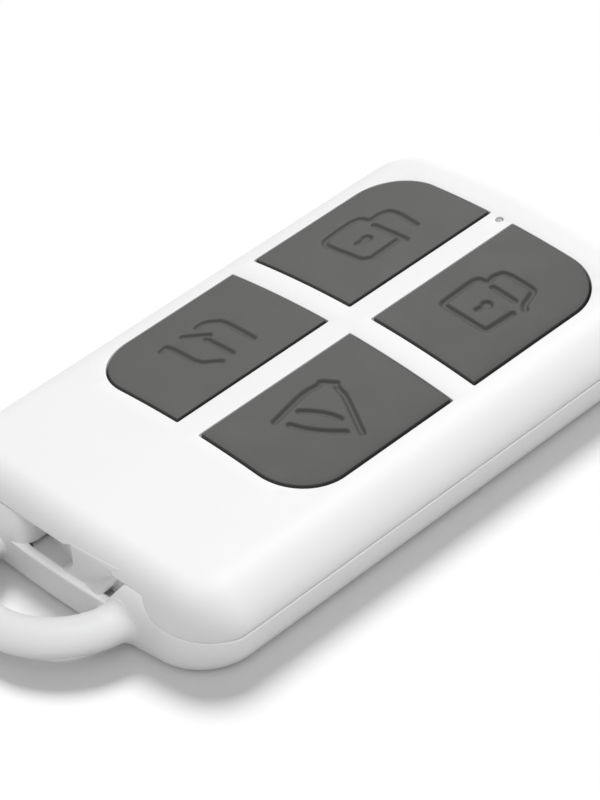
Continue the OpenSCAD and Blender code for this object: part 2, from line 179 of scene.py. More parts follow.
def ray_is_seen(tree):
    """1 for camera, glossy and transmission rays, and 0 for the rays that light other surfaces."""
    kinds = [Wire.node(tree, "ShaderNodeLightPath", {}, {}, kind)
             for kind in ("Is Camera Ray", "Is Glossy Ray", "Is Transmission Ray")]
    return kinds[0].largest(kinds[1]).largest(kinds[2])


white_table = bpy.data.materials.new("white_table")
white_table.use_nodes = True
tree = white_table.node_tree
table_shader = tree.nodes["Principled BSDF"]
table_shader.inputs["Roughness"].default_value = 1
table_shader.inputs["Specular IOR Level"].default_value = 0
table_paint = colour_mix(tree, ray_is_seen(tree), TABLE_AS_LIGHT, TABLE_AS_SEEN)
tree.links.new(table_paint.socket, table_shader.inputs["Base Color"])

table_mesh = bpy.data.meshes.new("table")
reach = 4.0
table_mesh.from_pydata([(-reach, -reach, 0), (reach, -reach, 0), (reach, reach, 0), (-reach, reach, 0)],
                       [], [(0, 1, 2, 3)])
table_mesh.materials.append(white_table)
table = bpy.data.objects.new("table", table_mesh)
table.location.z = -0.01 * MM
bpy.context.scene.collection.objects.link(table)
table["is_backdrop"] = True
print("table width in m:", 2 * reach)

# %% World
world = bpy.data.worlds.new("surroundings")
bpy.context.scene.world = world
world.use_nodes = True
tree = world.node_tree
sky = tree.nodes["Background"]
sky.inputs["Color"].default_value = (1, 1, 1, 1)
seen = ray_is_seen(tree)
strength = seen + SHARE_OF_SKY * (1 - seen)
tree.links.new(strength.socket, sky.inputs["Strength"])
print("share of light from the surroundings:", SHARE_OF_SKY)

# %% Lamps


def soft_lamp(name, share, towards, width):
    """A wide lamp that gives a level surface a share of plain light."""
    direction = Vector(towards).normalized()
    data = bpy.data.lights.new(name, "SUN")
    data.energy = share * math.pi / direction.z
    data.angle = math.radians(width)
    lamp = bpy.data.objects.new(name, data)
    lamp.rotation_euler = direction.to_track_quat("Z", "Y").to_euler()
    bpy.context.scene.collection.objects.link(lamp)
    print(name, "strength:", round(data.energy, 2))
    return lamp


lamp_above = soft_lamp("lamp_above", 0.22, (0.1, 0.12, 1.0), 40)
lamp_for_front = soft_lamp("lamp_for_front", 0.4, (0.12, 0.95, 1.0), 30)
lamp_for_rear = soft_lamp("lamp_for_rear", 0.23, (0.42, 0.0, 1.0), 40)
lamp_for_keys = soft_lamp("lamp_for_keys", 0.56, (-0.6, 0.6, 1.0), 30)
lamp_for_table = soft_lamp("lamp_for_table", 0.6, (-0.78, 0.42, 1.0), 20)

# %% [markdown]
# ## Finishes
# Each slot of the record gets one material. All of them start from the same few helpers, such as a grain of
# a stated size in millimetres and a bump of a stated depth. The sizes are real, so the texture looks right
# close up as well as from far away. Object coordinates are used because they are the CAD frame, and they go
# along when a key moves.

# %% Helpers for a finish
finishes = {}


def new_finish(slot):
    """A material with an empty finish, kept under its slot's name."""
    material = bpy.data.materials.new(slot)
    material.use_nodes = True
    finishes[slot] = material
    return material.node_tree


def coordinates(tree, stretch=(1, 1, 1)):
    """The place in the CAD frame, stretched along the axes."""
    here = Wire.node(tree, "ShaderNodeTexCoord", {}, {}, "Object")
    return Wire.node(tree, "ShaderNodeVectorMath", {"operation": "MULTIPLY"}, {0: here, 1: stretch})


def grain(tree, size, detail=2.0, stretch=(1, 1, 1)):
    """Noise between 0 and 1 with spots of about the given size in mm."""
    return Wire.node(tree, "ShaderNodeTexNoise", {},
                     {"Vector": coordinates(tree, stretch), "Scale": 1 / (size * MM), "Detail": detail})


def bump(tree, height, depth):
    """Normals of a relief of the given depth in mm."""
    return Wire.node(tree, "ShaderNodeBump", {}, {"Height": height, "Distance": depth * MM, "Strength": 1.0})


def dress(tree, **sockets):
    """Give the shader its links and its constants."""
    shader = tree.nodes["Principled BSDF"]
    for name, value in sockets.items():
        socket = shader.inputs[name.replace("_", " ")]
        if isinstance(value, Wire):
            tree.links.new(value.socket, socket)
        else:
            socket.default_value = value


# %% [markdown]
# ### White shell plastic
# The case is white ABS from a mould with a fine spark-eroded skin: satin, not glossy, with a faint cloudy
# change of gloss over a few millimetres. A fine bump breaks up the reflections, and the colour stays
# almost even.

# %% White shell plastic
tree = new_finish("shell_plastic")
cloud = grain(tree, 6.0)
spark = grain(tree, 0.16, 3.0)
dress(tree,
      Base_Color=colour_mix(tree, cloud, (0.855, 0.857, 0.858, 1), (0.885, 0.886, 0.886, 1)),
      Roughness=0.4 + 0.1 * cloud + 0.06 * spark,
      Normal=bump(tree, spark, 0.006),
      Specular_IOR_Level=0.4)
print("shell finish nodes:", len(tree.nodes))

# %% [markdown]
# ### Grey key plastic
# The keys are a dark neutral grey with a slightly coarser, duller skin than the case. Fingers polish the
# middle of a key in use, so its gloss varies a little more.

# %% Grey key plastic
tree = new_finish("key_plastic")
cloud = grain(tree, 4.0)
spark = grain(tree, 0.13, 3.0)
speckle = 0.7 * cloud + 0.3 * spark
dress(tree,
      Base_Color=colour_mix(tree, speckle, (0.066, 0.065, 0.063, 1), (0.084, 0.083, 0.080, 1)),
      Roughness=0.46 + 0.12 * cloud + 0.08 * spark,
      Normal=bump(tree, spark, 0.007),
      Specular_IOR_Level=0.2)
print("key finish nodes:", len(tree.nodes))

# %% [markdown]
# ### Clear and pale plastics
# The light pipe is polished polycarbonate, the status light has a pale cast body, and the switch buttons
# are undyed nylon, which is a little translucent and never quite even in colour.

# %% Clear and pale plastics
tree = new_finish("clear_plastic")
haze = grain(tree, 0.5)
dress(tree, Base_Color=colour_mix(tree, haze, (0.60, 0.63, 0.66, 1), (0.74, 0.77, 0.80, 1)),
      Roughness=0.1 + 0.12 * haze, Transmission_Weight=0.35, IOR=1.58)

tree = new_finish("led_package")
haze = grain(tree, 0.4)
dress(tree, Base_Color=colour_mix(tree, haze, (0.80, 0.70, 0.40, 1), (0.92, 0.86, 0.62, 1)),
      Roughness=0.16 + 0.1 * haze, IOR=1.52)

tree = new_finish("plunger_plastic")
cloud, spark = grain(tree, 0.7), grain(tree, 0.08)
dress(tree, Base_Color=colour_mix(tree, cloud, (0.56, 0.54, 0.49, 1), (0.68, 0.66, 0.61, 1)),
      Roughness=0.38 + 0.14 * cloud, Normal=bump(tree, spark, 0.004), Subsurface_Weight=0.05)
print("plastics so far:", len(finishes))

# %% [markdown]
# ### Black plastics
# The switch bodies are glass-filled nylon with short pale fibres at the surface. The chips are moulded in
# black epoxy, duller and finely pitted.

# %% Black plastics
tree = new_finish("switch_body")
fibre = grain(tree, 0.3, 1.0, (1, 0.15, 1))
bare_fibre = (fibre > 0.64) * 0.6
dress(tree, Base_Color=colour_mix(tree, bare_fibre, (0.018, 0.018, 0.019, 1), (0.06, 0.06, 0.06, 1)),
      Roughness=0.42 + 0.2 * fibre, Normal=bump(tree, fibre, 0.004))

tree = new_finish("black_epoxy")
pits = grain(tree, 0.09, 3.0)
dress(tree, Base_Color=colour_mix(tree, pits, (0.012, 0.012, 0.013, 1), (0.03, 0.03, 0.03, 1)),
      Roughness=0.55 + 0.2 * pits, Normal=bump(tree, pits, 0.008))
print("plastics so far:", len(finishes))

# %% [markdown]
# ### Board and ceramic chips
# The board is glass fibre under green solder mask. The weave shows faintly through the mask, and copper
# tracks below it make lighter green lines. The chips beside it are fired ceramic with a grainy body.

# %% Board and ceramic chips
tree = new_finish("board_laminate")
warp, weft = [Wire.node(tree, "ShaderNodeTexWave", {"bands_direction": axis},
                        {"Vector": coordinates(tree), "Scale": 1 / (2.2 * MM), "Distortion": 0.4}, "Fac")
              for axis in ("X", "Y")]
tracks = Wire.node(tree, "ShaderNodeTexBrick", {"offset": 0.37, "squash": 1.6},
                   {"Vector": coordinates(tree), "Scale": 1 / (9 * MM), "Mortar Size": 0.03,
                    "Mortar Smooth": 0.2, "Brick Width": 0.6, "Row Height": 0.24}, "Fac")
weave = 0.5 * warp + 0.5 * weft
mask = colour_mix(tree, weave, (0.010, 0.085, 0.035, 1), (0.016, 0.115, 0.05, 1))
dress(tree, Base_Color=colour_mix(tree, 0.7 * tracks, mask, (0.05, 0.26, 0.11, 1)),
      Roughness=0.3 + 0.1 * weave, Normal=bump(tree, 0.4 * weave + tracks, 0.012))

tree = new_finish("chip_ceramic")
body = grain(tree, 0.12, 4.0)
dress(tree, Base_Color=colour_mix(tree, body, (0.36, 0.26, 0.17, 1), (0.58, 0.46, 0.33, 1)),
      Roughness=0.5 + 0.2 * body, Normal=bump(tree, body, 0.006))
print("finishes so far:", len(finishes))

# %% [markdown]
# ### Metals
# Sheet metal shows where it was rolled or brushed: long fine lines in one direction, which change its
# gloss and catch the light. The copper of the antenna is bare, so it has darker patches where it has
# begun to tarnish.

# %% Metals


def brushed(slot, dark, light, rough, along):
    """A metal with fine lines along one axis and a faint stain."""
    tree = new_finish(slot)
    stretch = [1.0, 1.0, 1.0]
    stretch["xyz".index(along)] = 0.02
    lines = grain(tree, 0.07, 3.0, stretch)
    stain = grain(tree, 2.5, 3.0)
    dress(tree, Base_Color=colour_mix(tree, 0.6 * lines + 0.4 * stain, (*dark, 1), (*light, 1)),
          Roughness=rough + 0.14 * lines + 0.08 * stain, Metallic=1.0, Normal=bump(tree, lines, 0.003))


brushed("cell_steel", (0.55, 0.55, 0.53), (0.76, 0.76, 0.74), 0.2, "y")
brushed("clip_steel", (0.5, 0.5, 0.5), (0.7, 0.7, 0.7), 0.24, "x")
brushed("can_steel", (0.6, 0.59, 0.56), (0.8, 0.79, 0.76), 0.2, "y")
brushed("leaf_brass", (0.62, 0.44, 0.18), (0.84, 0.66, 0.33), 0.2, "x")
brushed("antenna_copper", (0.55, 0.24, 0.11), (0.88, 0.5, 0.3), 0.26, "y")
print("finishes:", sorted(finishes))

# %% Dress the solids
for row in frame["record"]["subparts"]:
    solid = frame["nodes"][row["node"]]
    solid.data.materials.clear()
    solid.data.materials.append(finishes[row["material_slot"]])

# %% [markdown]
# ## The outline of the case
# Both shells share one outline: straight sides, round corners and two ends that bow out a little. Every
# point of it is kept as the centre and radius of the arc it belongs to, so the outline can be moved in
# by any distance without a search for offsets. Columns stand closer together at the loop end, where the
# seam climbs steeply.

# %% Sizes of the case
half_w, far_y, near_y = 16.5, 32.5625, -24.6875
near_bow, far_bow, corner_r = 105.0, 300.0, 5.2
crown_r, body_h = 90.0, 7.8474
shoulder_r, foot_r, wall, floor_t = 3.5, 0.95, 1.1, 1.0


def crown(x, inset=0.0):
    """Height of the crowned front at a place across the width."""
    return body_h - crown_r + np.sqrt((crown_r - inset) ** 2 - np.asarray(x) ** 2)


print("the crown falls to the sides by", round(float(crown(0) - crown(half_w)), 2), "mm")

# %% Columns of the outline


def outline_columns():
    """Arc centre x, centre y, radius and angle of each column, anticlockwise from the right side."""
    x = half_w - corner_r
    y_far = far_y - far_bow + math.sqrt((far_bow - corner_r) ** 2 - x * x)
    y_near = near_y + near_bow - math.sqrt((near_bow - corner_r) ** 2 - x * x)
    lean_far = math.atan2(y_far - far_y + far_bow, x)
    lean_near = math.atan2(near_y + near_bow - y_near, x)
    bow_x = near_bow * math.cos(lean_near)
    climb = np.concatenate([np.linspace(0, 2.6, 6), np.linspace(2.8, 4.0, 16), np.linspace(4.4, 6.0, 5),
                            np.linspace(6.15, 8.7, 18), np.linspace(8.9, 9.7, 5),
                            np.linspace(9.78, 11.38, 21), np.linspace(11.55, bow_x - 0.12, 2)])
    near_x = np.concatenate([-climb[:0:-1], climb])
    rows = [(x, y, corner_r, 0.0) for y in np.linspace(y_near, y_far, 16)]
    rows += [(x, y_far, corner_r, a) for a in np.linspace(0, lean_far, 15)[1:]]
    rows += [(0, far_y - far_bow, far_bow, a) for a in np.linspace(lean_far, math.pi - lean_far, 20)[1:-1]]
    rows += [(-x, y_far, corner_r, a) for a in np.linspace(math.pi - lean_far, math.pi, 15)[:-1]]
    rows += [(-x, y, corner_r, math.pi) for y in np.linspace(y_far, y_near, 16)]
    rows += [(-x, y_near, corner_r, a) for a in np.linspace(math.pi, math.pi + lean_near, 21)[1:]]
    rows += [(0, near_y + near_bow, near_bow, 1.5 * math.pi + math.asin(s / near_bow)) for s in near_x]
    rows += [(x, y_near, corner_r, a) for a in np.linspace(2 * math.pi - lean_near, 2 * math.pi, 21)[:-1]]
    return np.array(rows)


columns = outline_columns()
print("columns:", len(columns))

# %% The outline, moved in by any distance


def outline(inset):
    """Points of the outline, moved in by a distance for each column."""
    arm, turn = columns[:, 2] - inset, columns[:, 3]
    return columns[:, :2] + np.stack([arm * np.cos(turn), arm * np.sin(turn)], 1)


def end_y(x):
    """Place of the bowed loop end along the length."""
    return near_y + near_bow - np.sqrt(near_bow ** 2 - np.asarray(x) ** 2)


edge_x = outline(0.0)[:, 0]
at_loop = np.sin(columns[:, 3]) < -0.02
print("width and length in mm:", np.round(np.ptp(outline(0.0), axis=0), 2))

# %% [markdown]
# ## The seam
# The two shells meet at a line low on the sides. At the loop end that line slopes up to the shoulders of a
# raised wall, climbs them, and becomes the brow over the opening. Its height is a function of the place
# across the width, so one table of heights serves both shells, and they always meet.

# %% The seam
parting_z, reveal, fit_gap = 2.85, 0.2, 0.1
brow_drop, brow_raise, brow_end = 1.5, 0.2, 9.75


def seam_height(x):
    """Height of the front shell's lower edge at the loop end; it is raised where the tongue runs into it."""
    over_tongue = np.clip((x - 1.7) / 0.3, 0, 1) * np.clip((6.9 - x) / 0.3, 0, 1)
    x = np.abs(x)
    brow = crown(np.minimum(x, 10.3)) - brow_drop + fit_gap + brow_raise * over_tongue
    places = [brow_end, 9.95, 10.15, 10.35, 10.9, 11.08, 11.25, 11.55, 12.2, 15.6, 16.2, 16.5]
    top = float(crown(brow_end)) - brow_drop + fit_gap
    heights = [top, top - 0.1, top - 0.34, top - 0.66, 4.75, 4.52, 4.40, 4.28, 4.12, 3.18, 2.98, parting_z]
    return np.where(x < brow_end, brow, np.interp(x, places, heights))


front_edge = np.where(at_loop, seam_height(edge_x), parting_z)
print("seam from", front_edge.min(), "to", round(float(front_edge.max()), 2), "mm")

# %% [markdown]
# ## Mesh helpers
# Every piece here is a set of rings, joined by quads. A ring keeps the same number of points from one
# height to the next, so no boolean is needed and the edges stay clean. Faces with holes, such as the
# front with its windows, are filled by a constrained triangulation.


# %% Shapes made of rings
class Shape:
    """Points in mm and the faces between them."""

    def __init__(self):
        self.points = []
        self.faces = []

    def ring(self, points):
        """Take in points and give back their numbers."""
        start = len(self.points)
        self.points.extend(tuple(float(v) for v in p) for p in points)
        return list(range(start, len(self.points)))

    def band(self, low, high):
        """Quads between two closed rings that run anticlockwise, seen from outside."""
        for i in range(len(low)):
            j = (i + 1) % len(low)
            self.faces.append((low[i], low[j], high[j], high[i]))

    def stack(self, rings):
        """Bands between the rings of a list, from the first to the last."""
        made = [self.ring(points) for points in rings]
        for low, high in zip(made, made[1:]):
            self.band(low, high)
        return made

    def lid(self, ring, flip=False):
        """One face over a ring."""
        self.faces.append(tuple(reversed(ring)) if flip else tuple(ring))

    def solid(self, rings):
        """A closed body: a stack of rings with a lid on both ends."""
        made = self.stack(rings)
        self.lid(made[0], True)
        self.lid(made[-1])


def with_height(flat, heights):
    """Flat points with a height each."""
    return np.column_stack([flat, np.broadcast_to(heights, len(flat))])


print("steps of a shape:", [name for name in vars(Shape) if name[0] != "_"])

# %% From a shape to a piece


def make_piece(shape, name, slot, body, nodes, sharp=40):
    """Turn a shape into a piece that rides on a body and stands for CAD nodes."""
    mesh = bpy.data.meshes.new(name)
    mesh.from_pydata([(x * MM, y * MM, z * MM) for x, y, z in shape.points], [], shape.faces)
    mesh.validate()
    mesh.shade_smooth()
    mesh.set_sharp_from_angle(angle=math.radians(sharp))
    mesh.materials.append(finishes[slot])
    piece = bpy.data.objects.new(name, mesh)
    bpy.context.scene.collection.objects.link(piece)
    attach(piece, body)
    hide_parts(*nodes)
    print(name, "faces:", len(mesh.polygons))
    return piece


# %% Filling a face that has holes


def grid_points(low, high, steps):
    """Points of a grid over a box."""
    x, y = (np.arange(*run) for run in zip(low, high, steps))
    return np.stack(np.meshgrid(x, y), -1).reshape(-1, 2)


def inside(points, loop):
    """True for each point inside a closed loop."""
    x, y = np.asarray(points)[:, 0], np.asarray(points)[:, 1]
    found = np.zeros(len(x), bool)
    for (x0, y0), (x1, y1) in zip(loop, np.roll(loop, -1, axis=0)):
        crosses = (y0 > y) != (y1 > y)
        if y1 != y0:
            found ^= crosses & (x < (x1 - x0) * (y - y0) / (y1 - y0) + x0)
    return found


def fill(loops, inner):
    """Triangles over the first loop, open where the others are; loops are numbered first, then inner."""
    points = np.concatenate([*loops, inner]) if len(inner) else np.concatenate(loops)
    edges, start = [], 0
    for loop in loops:
        edges += [(start + i, start + (i + 1) % len(loop)) for i in range(len(loop))]
        start += len(loop)
    found = geometry.delaunay_2d_cdt([Vector(p) for p in points], edges, [], 0, 1e-6)
    source = [ids[0] for ids in found[3]]
    triangles = np.array([[source[i] for i in face] for face in found[2]])
    middles = points[triangles].mean(axis=1)
    keep = inside(middles, loops[0])
    for loop in loops[1:]:
        keep &= ~inside(middles, loop)
    return triangles[keep]


print("triangles in a square:", len(fill([np.array([(0, 0), (1, 0), (1, 1), (0, 1)])], [])))

# %% [markdown]
# ## Windows
# Four windows stand two by two with a white cross of shell between them. Each has one large round corner,
# at the outside of the group, and three small ones. The same loop, drawn larger or smaller, gives the
# window, its rounded rim, the key inside it and the key's flange under the shell.

# %% Windows
cross_y, street, window_w, window_l, window_r, small_r = 8.8125, 2.4, 11.6, 16.95, 4.8, 0.14
corners_of_keys = {"disarm": (-1, 1), "arm": (1, 1), "home_arm": (-1, -1), "alarm": (1, -1)}


def quarter(x, y, radius, start, steps):
    """Points of a quarter circle that begins at an angle in degrees."""
    turn = np.radians(start + np.linspace(0, 90, steps))
    return np.stack([x + radius * np.cos(turn), y + radius * np.sin(turn)], 1)


def between(one, two, parts):
    """The points that divide a line into equal parts."""
    share = np.linspace(0, 1, parts + 1)[1:-1, None]
    return one * (1 - share) + two * share


def window_loop(column, row, grow):
    """Anticlockwise loop of a window, grown by a distance; the number of points is always the same."""
    x0, y0 = street / 2 - grow, street / 2 - grow
    x1, y1 = street / 2 + window_w + grow, street / 2 + window_l + grow
    small, large = max(small_r + grow, 0.04), window_r + grow
    arcs = [quarter(x0 + small, y0 + small, small, 180, 6), quarter(x1 - small, y0 + small, small, 270, 6),
            quarter(x1 - large, y1 - large, large, 0, 22), quarter(x0 + small, y1 - small, small, 90, 6)]
    loop = []
    for arc, following, parts in zip(arcs, arcs[1:] + arcs[:1], (12, 12, 8, 12)):
        loop += [arc, between(arc[-1], following[0], parts)]
    loop = np.concatenate(loop) * (column, row) + (0, cross_y)
    return loop[::-1] if column * row < 0 else loop


print("window loop points:", len(window_loop(1, 1, 0)))

# %% [markdown]
# ## Front shell
# The front shell is the crowned upper half of the case. Its section is the same all the way round: a short
# wall above the seam, then a round shoulder that runs into the crown without an edge. So the skin is drawn
# as columns of that section, which start at the seam wherever it is. The windows get a small rounded rim,
# as a moulded edge has, and an inner skin gives the shell its real thickness at every edge.

# %% Section of the front shell
shoulder_steps = 14


def skin_rings(inset, edge):
    """Rings from the lower edge up the wall and over the shoulder to the crown."""
    r = shoulder_r - inset
    top = crown(edge_x, inset)
    start_z = np.maximum(top - r, edge)
    start_turn = np.arcsin(np.clip(1 - (top - start_z) / r, 0, 1))
    rise = start_z - edge
    length = rise + r * (math.pi / 2 - start_turn)
    rings = []
    for step in range(shoulder_steps + 1):
        run = length * step / shoulder_steps
        turn = np.clip(start_turn + (run - rise) / r, 0, math.pi / 2)
        on_wall = run < rise
        move = np.where(on_wall, 0, r * (1 - np.cos(turn)))
        flat = outline(inset + move)
        depth = np.where(on_wall, r, r * (1 - np.sin(turn)))
        height = np.where(on_wall, edge + run, crown(flat[:, 0], inset) - depth)
        rings.append(with_height(flat, height))
    return rings


def soft_edge(above, corner, inward):
    """Two points of a small rounding from a point above a corner to one inward of it."""
    return [(1 - t) ** 2 * above + 2 * t * (1 - t) * corner + t * t * inward for t in (0.33, 0.67)]


outer_rings, inner_rings = skin_rings(0.0, front_edge), skin_rings(wall, front_edge)
print("rings of the front shell:", len(outer_rings) + len(inner_rings))

# %% Wall and shoulder of the front shell


def moved(start, target, distance):
    """Points moved a distance from a start towards a target."""
    way = target - start
    return start + distance * (way / np.linalg.norm(way, axis=1)[:, None])


front = Shape()
edge_round = np.where(front_edge > parting_z + 0.2, 0.04, 0.08)[:, None]
corner = outer_rings[0]
above, inward = moved(corner, outer_rings[1], edge_round), moved(corner, inner_rings[0], edge_round)
lower = soft_edge(inward, corner, above)
made = front.stack([*inner_rings[::-1], inward, *lower, above, *outer_rings[1:]])
inner_top, outer_top = made[0], made[-1]
print("faces of the wall and shoulder:", len(front.faces))

# %% Front with its openings
window_rim, pinhole_rim, light_y, light_r = 0.06, 0.06, 26.6625, 0.36


def disc(x, y, radius):
    """Anticlockwise loop of a circle."""
    turn = np.linspace(0, 2 * math.pi, 24, endpoint=False)
    return np.stack([x + radius * np.cos(turn), y + radius * np.sin(turn)], 1)


window_loops = [window_loop(*place, window_rim) for place in corners_of_keys.values()]
light_loop = disc(0, light_y, light_r + pinhole_rim)
top_loop = outline(shoulder_r)
grid = grid_points((-12.5, near_y + 4.4), (12.6, far_y - 3.8), (1.0, 1.6))
grid = grid[inside(grid, top_loop * 0.985)]
for loop in window_loops:
    middle = loop.mean(axis=0)
    grid = grid[~inside(grid, middle + (loop - middle) * 1.03)]
grid = grid[np.hypot(grid[:, 0], grid[:, 1] - light_y) > 1]
top_faces = fill([top_loop, *window_loops, light_loop], grid)

flat = np.concatenate([*window_loops, light_loop, grid])
outer_numbers = outer_top + front.ring(with_height(flat, crown(flat[:, 0])))
inner_numbers = inner_top + front.ring(with_height(flat, crown(flat[:, 0], wall)))
for face in top_faces:
    front.lid([outer_numbers[i] for i in face])
    front.lid([inner_numbers[i] for i in face], True)
print("faces of the skin:", len(front.faces))

# %% Rims of the windows and of the pinhole


def rim(start, count, size, loops):
    """Round the edge of one opening and run its wall down to the inner skin."""
    upper = [outer_numbers[start + i] for i in range(count)]
    lower = [inner_numbers[start + i] for i in range(count)]
    rings = [upper]
    for turn in np.radians((30, 60, 90)):
        flat = loops(size * (1 - math.sin(turn)))
        rings.append(front.ring(with_height(flat, crown(flat[:, 0]) - size * (1 - math.cos(turn)))))
    flat = loops(0.0)
    rings.append(front.ring(with_height(flat, crown(flat[:, 0], wall))))
    rings.append(lower)
    for high, low in zip(rings, rings[1:]):
        front.band(high, low)


start = len(top_loop)
for place, loop in zip(corners_of_keys.values(), window_loops):
    rim(start, len(loop), window_rim, lambda grow, place=place: window_loop(*place, grow))
    start += len(loop)
rim(start, len(light_loop), pinhole_rim, lambda grow: disc(0, light_y, light_r + grow))
print("front shell faces so far:", len(front.faces))

# %% [markdown]
# ### Tongue in the opening
# One tongue of the front shell hangs down in the right half of the opening at the loop end. Its face is
# flush with the brow above it, hollows like a thumb rest down to an arc, and runs out over the rim below.
# It is a stack of sections, each a rectangle with round corners, and the hollow only moves points of their
# front sides. A web with a low shelf closes the slot behind it, so the gaps beside the tongue look into
# white plastic and not into the case.

# %% Opening and sections of the tongue
opening_x, opening_left, opening_lean, rim_z = 6.3, 3.1, 2.1, 3.6
opening_slope = opening_lean / (body_h - brow_drop - rim_z)
tongue_x, tongue_gap, tongue_in, tongue_back = 2.0, 0.8, 0.8, 2.0
tongue_left_r, tongue_right_r = 0.3, 0.55


def rounded_box(x0, x1, y0, y1):
    """Anticlockwise rectangle with round corners; its front side gets points of its own."""
    left, right = tongue_left_r, tongue_right_r
    arcs = [quarter(x0 + left, y0 + left, left, 180, 7), quarter(x1 - right, y0 + right, right, 270, 7),
            quarter(x1 - right, y1 - right, right, 0, 7), quarter(x0 + left, y1 - left, left, 90, 7)]
    return np.concatenate([arcs[0], between(arcs[0][-1], arcs[1][0], 28), *arcs[1:]])


print("points of a section:", len(rounded_box(0, 2, 0, 2)))

# %% Face of the tongue
arc_x, arc_z = (2.0, 3.3, 4.57, 5.62, 6.73, 7.7), (3.45, 3.52, 4.16, 4.91, 6.10, 7.2)
hollow_top, hollow_depth, hollow_foot = 6.6, 0.6, 0.38


def shoulder(x, height):
    """Distance from the end to the round shoulder at a height."""
    over = np.clip(height - crown(x) + shoulder_r, 0, 0.98 * shoulder_r)
    return shoulder_r - np.sqrt(shoulder_r ** 2 - over ** 2)


def hollow(x, height):
    """How far the face lies back: it deepens down to a rising arc, then runs out to the rim."""
    arc = np.interp(x, arc_x, arc_z)
    deepest = hollow_depth * np.clip((x - 3.2) / 2.2, 0, 1)
    above = deepest * np.clip((hollow_top - height) / np.maximum(hollow_top - arc, 0.4), 0, 1) ** 1.6
    below = np.clip((arc - height) / np.maximum(arc - rim_z, 0.05), 0, 1)
    foot = hollow_foot * np.clip((x - 3.3) / 2.0, 0, 1)
    return np.where(height > arc, above, deepest * (1 - below) - foot * below)


print("depth of the hollow in mm:", hollow_depth)

# %% Tongue in the opening
flare_h, flare_left, flare_front, tongue_top = 1.7, 1.1, 0.2, 6.8
proud, tuck, ease = 0.03, 0.2, 0.05  # mm out of the shoulder, in at the very top, and of blending
rings = []
for height in (3.595, 3.62, 3.66, 3.73, *np.arange(3.83, 6.6, 0.13), 6.64, 6.72, tongue_top):
    flare = max(0.0, 1 - (height - rim_z) / flare_h) ** 2.4
    left_x = tongue_x - flare_left * flare ** 1.7
    right_x = opening_x - tongue_gap + (height - rim_z) * opening_slope
    flat = rounded_box(left_x, right_x, tongue_in - flare_front * flare, tongue_back)
    x, y = flat.T
    y = y + hollow(x, height) * np.clip((tongue_back - y) / (tongue_back - tongue_in), 0, 1)
    skin = shoulder(x, height) + (tuck if height == tongue_top else -proud)
    # the deeper of the two, with a soft change from one to the other
    y = (y + skin + np.sqrt((y - skin) ** 2 + ease ** 2)) / 2
    rings.append(np.column_stack([x, y + end_y(x), np.full(len(x), height)]))
front.solid(rings)
print("tongue points:", len(rings) * len(rings[0]))

# %% Web behind the tongue
web_t, shelf_z, shelf_t, cheek_foot = 0.5, 3.2, 0.3, rim_z - 0.01
slices = []
for x in (-8.4, -6.0, -3.4, -opening_left + 0.03, *np.linspace(-opening_left + 0.06, 8.6, 13)):
    web_top = float(crown(x)) - wall - 0.05 if x > 0.05 - opening_left else cheek_foot - 0.1
    shelf_y = 1.04 if -3.2 < x < 6 else 1.25
    deeper, nearer = np.clip((0.8 - x) / 3.9, 0, 1), 0.4 * np.clip((x - 5.0) / 0.8, 0, 1)
    web_y = tongue_back - 0.1 + deeper - nearer
    section = [(shelf_y, shelf_z - shelf_t), (web_y + web_t, shelf_z - shelf_t), (web_y + web_t, web_top),
               (web_y, web_top), (web_y, shelf_z), (shelf_y, shelf_z)]
    slices.append([(x, end_y(x) + y, z) for y, z in section])
front.solid(slices)
make_piece(front, "front_shell_skin", "shell_plastic", "case", ["front_shell"])

# %% [markdown]
# ## Rear shell
# The rear shell is a shallow tray with a rounded rear edge. A locating lip stands inside the seam, and a
# narrow step outside it draws the dark line between the shells. At the loop end the wall rises, with an
# opening that leaves a rim below it. The opening's left end is closed by a deep cheek, and its right side
# leans out. The tray uses the same columns as the front shell, so its upper edge follows the seam from
# just below.

# %% Height of the rear shell's wall
lip_out, lip_in = 1.2, 2.0
cheek_end = 8.3


def wall_top(x):
    """Height of the end wall: the rim, which also runs under the cheek, the sides above it, then the seam."""
    side = np.where(x > 0, (x - opening_x) / opening_slope, 20 * (-x - cheek_end))
    return np.minimum(rim_z + np.maximum(side, 0), seam_height(x) - 0.03)


rear_edge = np.where(at_loop, np.maximum(wall_top(edge_x), parting_z), parting_z)
raised = np.clip((rear_edge - parting_z - 0.02) / 0.2, 0, 1)
print("rear wall from", rear_edge.min(), "to", round(float(rear_edge.max()), 2), "mm")

# %% Section of the rear shell
into_opening = np.where(edge_x > 0, (opening_x + 0.5 - edge_x) / 0.6, (edge_x + opening_left + 1.2) / 1.2)
in_opening = np.where(at_loop, np.clip(into_opening, 0, 1), 0)
to_cheek = np.clip((-opening_left - 0.2 - edge_x) / 1.2, 0, 1) * (edge_x > -cheek_end)
under_cheek = np.where(at_loop, to_cheek, 0)
lip_top = 3.45 - 2.2 * np.where(at_loop, np.clip((9.2 - np.abs(edge_x)) / 0.5, 0, 1), 0)
step_in, step_down = 0.08 * (1 - raised), reveal * (1 - raised)
front_soft = (0.08 - 0.04 * raised + 0.18 * in_opening) * (1 - 0.97 * under_cheek)
back_soft = 0.18 + 0.1 * in_opening
outer_z = rear_edge - step_down
lean = shoulder(edge_x, outer_z)
inner_edge = lip_out - fit_gap * raised - 0.2 * in_opening + shoulder(edge_x, rear_edge)
print("the wall's inner edge lies", round(inner_edge.min(), 2), "to", round(inner_edge.max(), 2), "mm in")

